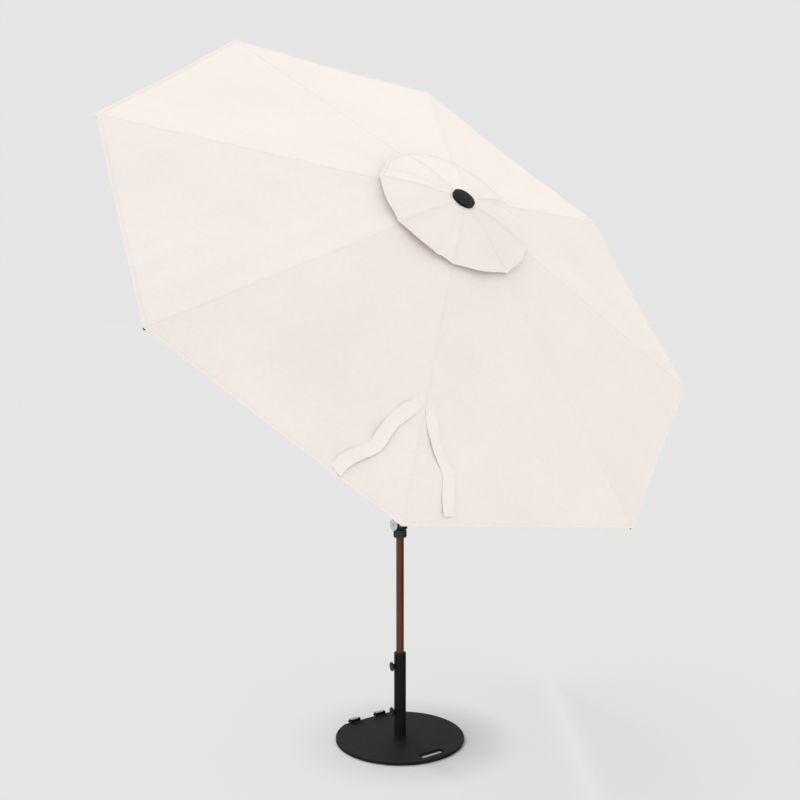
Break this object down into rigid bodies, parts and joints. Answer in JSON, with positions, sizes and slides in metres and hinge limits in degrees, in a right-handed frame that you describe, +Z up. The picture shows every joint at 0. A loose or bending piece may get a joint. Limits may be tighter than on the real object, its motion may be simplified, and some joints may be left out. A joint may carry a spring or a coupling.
{
  "type": "patio umbrella",
  "caption": "Octagonal garden umbrella with crank lift, tilting upper pole, vent cap and round plate base with clamp tube and rollers.",
  "frame": {"origin": "centre of the round base on the floor, under the pole's axis", "axes": "+Z up along the lower pole; the canopy leans towards -Y, where the base's handle slot is, the base being turned 4 degrees clockwise from above; the rollers are at +Y"},
  "size_m": [3.0502, 2.0438, 3.4778],
  "materials": {
    "black_steel": "powder coat, satin",
    "foot_rubber": "matte",
    "black_plastic": "matte",
    "zinc_steel": "zinc plated",
    "grey_plastic": "matte",
    "brown_pole": "bronze brown paint, satin",
    "dark_housing": "matte",
    "cast_fitting": "cast",
    "cord_fabric": "braided cord",
    "dark_collar": "matte",
    "silver_crank": "satin",
    "hub_plastic": "moulded",
    "cream_fabric": "woven polyester",
    "strap_webbing": "woven webbing",
    "rib_steel": "bronze brown paint, satin"
  },
  "bodies": {
    "base": {"base_plate": "black_steel", "base_feet": "foot_rubber", "base_tube": "black_steel", "tube_cap": "black_plastic", "roller_brackets": "black_steel", "roller_hardware": "black_steel"},
    "lower_knob": {"lower_knob": "black_plastic"},
    "upper_knob": {"upper_knob": "black_plastic"},
    "roller_left": {"roller_left": "grey_plastic"},
    "roller_right": {"roller_right": "grey_plastic"},
    "pole": {"lower_pole": "brown_pole", "pole_plug": "black_plastic", "crank_housing": "dark_housing", "crank_cover": "dark_housing", "cover_screws": "zinc_steel", "mid_pole": "brown_pole", "tilt_fork": "cast_fitting", "tilt_pin": "zinc_steel", "lift_cord_lower": "cord_fabric"},
    "collar": {"tilt_collar": "dark_collar"},
    "tilt_rod": {"tilt_rod": "zinc_steel"},
    "crank": {"crank_spool": "black_plastic", "crank_axle": "zinc_steel", "crank_arm": "silver_crank"},
    "grip": {"crank_grip": "black_plastic"},
    "upper": {"upper_pole": "brown_pole", "tilt_tongue": "cast_fitting", "crown_hub": "hub_plastic", "hub_pins": "zinc_steel", "vent_cap": "cream_fabric", "finial": "black_plastic", "lift_cord_upper": "cord_fabric"},
    "crown_pulley": {"crown_pulley": "grey_plastic"},
    "runner": {"runner": "hub_plastic", "runner_pins": "zinc_steel"},
    "rib_1": {"rib_1": "rib_steel", "canopy_panel_1": "cream_fabric"},
    "stretcher_1": {"stretcher_1": "rib_steel"},
    "rib_2": {"rib_2": "rib_steel", "canopy_panel_2": "cream_fabric"},
    "stretcher_2": {"stretcher_2": "rib_steel"},
    "rib_3": {"rib_3": "rib_steel", "canopy_panel_3": "cream_fabric"},
    "stretcher_3": {"stretcher_3": "rib_steel"},
    "rib_4": {"rib_4": "rib_steel", "canopy_panel_4": "cream_fabric"},
    "stretcher_4": {"stretcher_4": "rib_steel"},
    "rib_5": {"rib_5": "rib_steel", "canopy_panel_5": "cream_fabric"},
    "stretcher_5": {"stretcher_5": "rib_steel"},
    "rib_6": {"rib_6": "rib_steel", "canopy_panel_6": "cream_fabric", "tie_straps": "strap_webbing"},
    "stretcher_6": {"stretcher_6": "rib_steel"},
    "rib_7": {"rib_7": "rib_steel", "canopy_panel_7": "cream_fabric"},
    "stretcher_7": {"stretcher_7": "rib_steel"},
    "rib_8": {"rib_8": "rib_steel", "canopy_panel_8": "cream_fabric"},
    "stretcher_8": {"stretcher_8": "rib_steel"}
  },
  "joints": [
    {"name": "pole_turn", "type": "hinge", "parent": "base", "child": "pole", "pos_m": [0, 0, 0.442], "axis": [0, 0, 1], "continuous": true},
    {"name": "lower_knob_turn", "type": "hinge", "parent": "base", "child": "lower_knob", "pos_m": [0, 0, 0.145], "axis": [-0.9627, 0.2706, 0], "range_deg": [0, 720]},
    {"name": "upper_knob_turn", "type": "hinge", "parent": "base", "child": "upper_knob", "pos_m": [0, 0, 0.375], "axis": [-0.9627, 0.2706, 0], "range_deg": [0, 720]},
    {"name": "roller_left_spin", "type": "hinge", "parent": "base", "child": "roller_left", "pos_m": [-0.05688, 0.30471, 0.0165], "axis": [0.9976, -0.0698, 0], "continuous": true},
    {"name": "roller_right_spin", "type": "hinge", "parent": "base", "child": "roller_right", "pos_m": [0.09874, 0.29383, 0.0165], "axis": [0.9976, -0.0698, 0], "continuous": true},
    {"name": "canopy_tilt", "type": "hinge", "parent": "pole", "child": "upper", "pos_m": [0, 0, 2.2273], "axis": [1, 0, 0], "range_deg": [-48.12, 0], "deforming": ["lift_cord_lower"]},
    {"name": "collar_turn", "type": "hinge", "parent": "pole", "child": "collar", "pos_m": [0, 0, 1.04], "axis": [0, 0, 1], "range_deg": [0, 180.01]},
    {"name": "tilt_rod_slide", "type": "slide", "parent": "pole", "child": "tilt_rod", "axis": [0, 0, 1], "range_m": [0, 0.00601]},
    {"name": "runner_slide", "type": "slide", "parent": "upper", "child": "runner", "axis": [0, 0.7445, -0.6676], "range_m": [0, 0.105]},
    {"name": "crank_turn", "type": "hinge", "parent": "pole", "child": "crank", "pos_m": [0, 0, 1.085], "axis": [1, 0, 0], "range_deg": [0, 668.95]},
    {"name": "grip_spin", "type": "hinge", "parent": "crank", "child": "grip", "pos_m": [-0.06, 0, 1.177], "axis": [1, 0, 0], "continuous": true},
    {"name": "crown_pulley_spin", "type": "hinge", "parent": "upper", "child": "crown_pulley", "pos_m": [0, -0.36465, 2.57708], "axis": [1, 0, 0], "range_deg": [-752.51, 0]},
    {"name": "rib_1_fold", "type": "hinge", "parent": "upper", "child": "rib_1", "pos_m": [0.03707, -0.42177, 2.61672], "axis": [-0.2204, 0.6512, 0.7262], "range_deg": [0, 4.55]},
    {"name": "stretcher_1_fold", "type": "hinge", "parent": "rib_1", "child": "stretcher_1", "pos_m": [0.69193, -0.17547, 2.59457], "axis": [-0.2204, 0.6512, 0.7262], "range_deg": [-9.1, 0]},
    {"name": "rib_2_fold", "type": "hinge", "parent": "upper", "child": "rib_2", "pos_m": [0.02029, -0.40591, 2.63441], "axis": [-0.8455, 0.3564, 0.3975], "range_deg": [0, 4.55]},
    {"name": "stretcher_2_fold", "type": "hinge", "parent": "rib_2", "child": "stretcher_2", "pos_m": [0.37874, 0.12059, 2.92477], "axis": [-0.8455, 0.3564, 0.3975], "range_deg": [-9.1, 0]},
    {"name": "rib_3_fold", "type": "hinge", "parent": "upper", "child": "rib_3", "pos_m": [-0.00837, -0.40262, 2.63808], "axis": [-0.9754, -0.1471, -0.1641], "range_deg": [0, 4.55]},
    {"name": "stretcher_3_fold", "type": "hinge", "parent": "rib_3", "child": "stretcher_3", "pos_m": [-0.15631, 0.18209, 2.99336], "axis": [-0.9754, -0.1471, -0.1641], "range_deg": [-9.1, 0]},
    {"name": "rib_4_fold", "type": "hinge", "parent": "upper", "child": "rib_4", "pos_m": [-0.03213, -0.41382, 2.62559], "axis": [-0.5339, -0.5645, -0.6295], "range_deg": [0, 4.55]},
    {"name": "stretcher_4_fold", "type": "hinge", "parent": "rib_4", "child": "stretcher_4", "pos_m": [-0.5998, -0.02699, 2.76018], "axis": [-0.5339, -0.5645, -0.6295], "range_deg": [-9.1, 0]},
    {"name": "rib_5_fold", "type": "hinge", "parent": "upper", "child": "rib_5", "pos_m": [-0.03707, -0.43295, 2.60425], "axis": [0.2204, -0.6512, -0.7262], "range_deg": [0, 4.55]},
    {"name": "stretcher_5_fold", "type": "hinge", "parent": "rib_5", "child": "stretcher_5", "pos_m": [-0.69193, -0.38417, 2.36181], "axis": [0.2204, -0.6512, -0.7262], "range_deg": [-9.1, 0]},
    {"name": "rib_6_fold", "type": "hinge", "parent": "upper", "child": "rib_6", "pos_m": [-0.02029, -0.44881, 2.58656], "axis": [0.8455, -0.3564, -0.3975], "range_deg": [0, 4.55]},
    {"name": "stretcher_6_fold", "type": "hinge", "parent": "rib_6", "child": "stretcher_6", "pos_m": [-0.37874, -0.68023, 2.03162], "axis": [0.8455, -0.3564, -0.3975], "range_deg": [-9.1, 0]},
    {"name": "rib_7_fold", "type": "hinge", "parent": "upper", "child": "rib_7", "pos_m": [0.00837, -0.45211, 2.58289], "axis": [0.9754, 0.1471, 0.1641], "range_deg": [0, 4.55]},
    {"name": "stretcher_7_fold", "type": "hinge", "parent": "rib_7", "child": "stretcher_7", "pos_m": [0.15631, -0.74173, 1.96302], "axis": [0.9754, 0.1471, 0.1641], "range_deg": [-9.1, 0]},
    {"name": "rib_8_fold", "type": "hinge", "parent": "upper", "child": "rib_8", "pos_m": [0.03213, -0.44091, 2.59538], "axis": [0.5339, 0.5645, 0.6295], "range_deg": [0, 4.55]},
    {"name": "stretcher_8_fold", "type": "hinge", "parent": "rib_8", "child": "stretcher_8", "pos_m": [0.5998, -0.53265, 2.19621], "axis": [0.5339, 0.5645, 0.6295], "range_deg": [-9.1, 0]}
  ],
  "couplings": [
    {"joint": "collar_turn", "follows": "canopy_tilt", "ratio": -3.7407},
    {"joint": "tilt_rod_slide", "follows": "canopy_tilt", "m_per_rad": -0.0071441},
    {"joint": "crank_turn", "follows": "runner_slide", "rad_per_m": 111.11},
    {"joint": "crown_pulley_spin", "follows": "runner_slide", "rad_per_m": -125},
    {"joint": "rib_1_fold", "follows": "runner_slide", "rad_per_m": 0.75435},
    {"joint": "stretcher_1_fold", "follows": "runner_slide", "rad_per_m": -1.5087},
    {"joint": "rib_2_fold", "follows": "runner_slide", "rad_per_m": 0.75435},
    {"joint": "stretcher_2_fold", "follows": "runner_slide", "rad_per_m": -1.5087},
    {"joint": "rib_3_fold", "follows": "runner_slide", "rad_per_m": 0.75435},
    {"joint": "stretcher_3_fold", "follows": "runner_slide", "rad_per_m": -1.5087},
    {"joint": "rib_4_fold", "follows": "runner_slide", "rad_per_m": 0.75435},
    {"joint": "stretcher_4_fold", "follows": "runner_slide", "rad_per_m": -1.5087},
    {"joint": "rib_5_fold", "follows": "runner_slide", "rad_per_m": 0.75435},
    {"joint": "stretcher_5_fold", "follows": "runner_slide", "rad_per_m": -1.5087},
    {"joint": "rib_6_fold", "follows": "runner_slide", "rad_per_m": 0.75435},
    {"joint": "stretcher_6_fold", "follows": "runner_slide", "rad_per_m": -1.5087},
    {"joint": "rib_7_fold", "follows": "runner_slide", "rad_per_m": 0.75435},
    {"joint": "stretcher_7_fold", "follows": "runner_slide", "rad_per_m": -1.5087},
    {"joint": "rib_8_fold", "follows": "runner_slide", "rad_per_m": 0.75435},
    {"joint": "stretcher_8_fold", "follows": "runner_slide", "rad_per_m": -1.5087}
  ]
}
